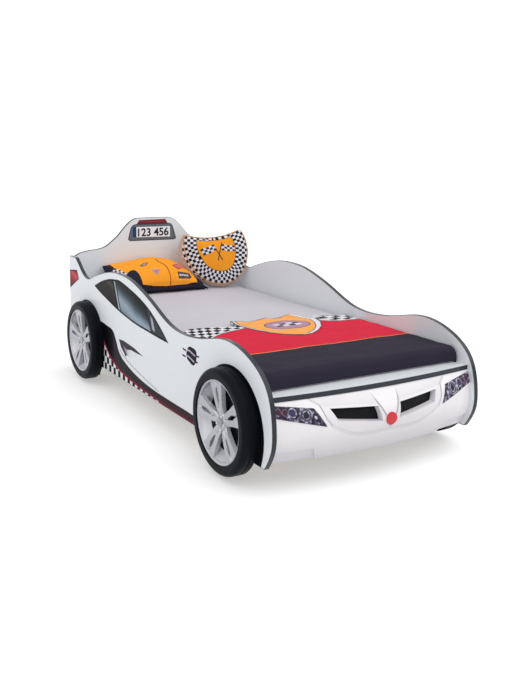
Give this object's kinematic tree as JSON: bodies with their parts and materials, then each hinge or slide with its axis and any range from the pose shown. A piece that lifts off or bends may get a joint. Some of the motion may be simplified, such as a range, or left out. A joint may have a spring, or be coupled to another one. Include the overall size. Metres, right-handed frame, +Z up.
{
  "type": "children's racing car bed",
  "caption": "Racing car shaped child's bed with shaped side panels, decorative wheels, moulded front bumper, slatted base, mattress, coverlet, pillow and shield cushion.",
  "frame": {"origin": "on the floor under the middle of the bed, at the bottom centre of the whole object", "axes": "+Z up, nose of the car towards -Y, headboard towards +Y, +X to the right of someone who looks from the nose to the headboard"},
  "size_m": [1.09, 2.0801, 0.8051],
  "materials": {
    "white_board": "white satin film on board, printed",
    "edge_strip": "charcoal plastic edging",
    "bumper_plastic": "white gloss moulding",
    "lamp_film": "dark violet gloss film, printed",
    "grille_black": "matt black",
    "nose_badge_red": "red gloss",
    "tyre_black": "satin black moulding",
    "rim_silver": "silver sprayed plastic",
    "hub_cap_dark": "dark gloss",
    "lug_dark": "dark gloss",
    "bare_pine": "bare planed pine",
    "slat_birch": "bare birch plywood",
    "zinc_steel": "zinc plated",
    "glide_plastic": "black plastic",
    "fitted_sheet": "grey woven cotton",
    "coverlet_cloth": "quilted printed cotton",
    "pillow_cloth": "printed cotton",
    "cushion_cloth": "printed plush with beige gusset"
  },
  "bodies": {
    "bed": {"beam_hangers": "zinc_steel", "beam_leg_front": "bare_pine", "beam_leg_rear": "bare_pine", "bumper_shell": "bumper_plastic", "centre_beam": "bare_pine", "corner_brackets": "zinc_steel", "floor_glides": "glide_plastic", "foot_bearer": "bare_pine", "foot_front_left": "bare_pine", "foot_front_right": "bare_pine", "foot_rear_left": "bare_pine", "foot_rear_right": "bare_pine", "front_board": "white_board", "front_shelf": "white_board", "front_shelf_edge_band": "edge_strip", "grille_insert_left": "grille_black", "grille_insert_right": "grille_black", "head_bearer": "bare_pine", "headboard": "white_board", "headboard_edge_band": "edge_strip", "headlamp_panel_left": "lamp_film", "headlamp_panel_right": "lamp_film", "hub_cap_front_left": "hub_cap_dark", "hub_cap_front_right": "hub_cap_dark", "hub_cap_rear_left": "hub_cap_dark", "hub_cap_rear_right": "hub_cap_dark", "nose_disc": "nose_badge_red", "rim_front_left": "rim_silver", "rim_front_right": "rim_silver", "rim_rear_left": "rim_silver", "rim_rear_right": "rim_silver", "side_bearer_left": "bare_pine", "side_bearer_right": "bare_pine", "side_edge_band_left": "edge_strip", "side_edge_band_right": "edge_strip", "side_panel_left": "white_board", "side_panel_right": "white_board", "slat_01": "slat_birch", "slat_02": "slat_birch", "slat_03": "slat_birch", "slat_04": "slat_birch", "slat_05": "slat_birch", "slat_06": "slat_birch", "slat_07": "slat_birch", "slat_08": "slat_birch", "slat_09": "slat_birch", "slat_10": "slat_birch", "slat_11": "slat_birch", "small_screws": "zinc_steel", "tyre_front_left": "tyre_black", "tyre_front_right": "tyre_black", "tyre_rear_left": "tyre_black", "tyre_rear_right": "tyre_black", "wheel_lug_bolts": "lug_dark", "wheel_screws": "zinc_steel", "wood_screws": "zinc_steel"},
    "bedding": {"mattress": "fitted_sheet", "coverlet": "coverlet_cloth"},
    "head_pillow": {"pillow": "pillow_cloth"},
    "corner_cushion": {"shield_cushion": "cushion_cloth"}
  },
  "joints": [
    {"name": "mattress_lift", "type": "slide", "parent": "bed", "child": "bedding", "axis": [0, 0, 1], "range_m": [0, 0.25]},
    {"name": "pillow_lift", "type": "slide", "parent": "bedding", "child": "head_pillow", "axis": [0, 0, 1], "range_m": [0, 0.3]},
    {"name": "cushion_lift", "type": "slide", "parent": "head_pillow", "child": "corner_cushion", "axis": [0, 0, 1], "range_m": [0, 0.3]}
  ]
}
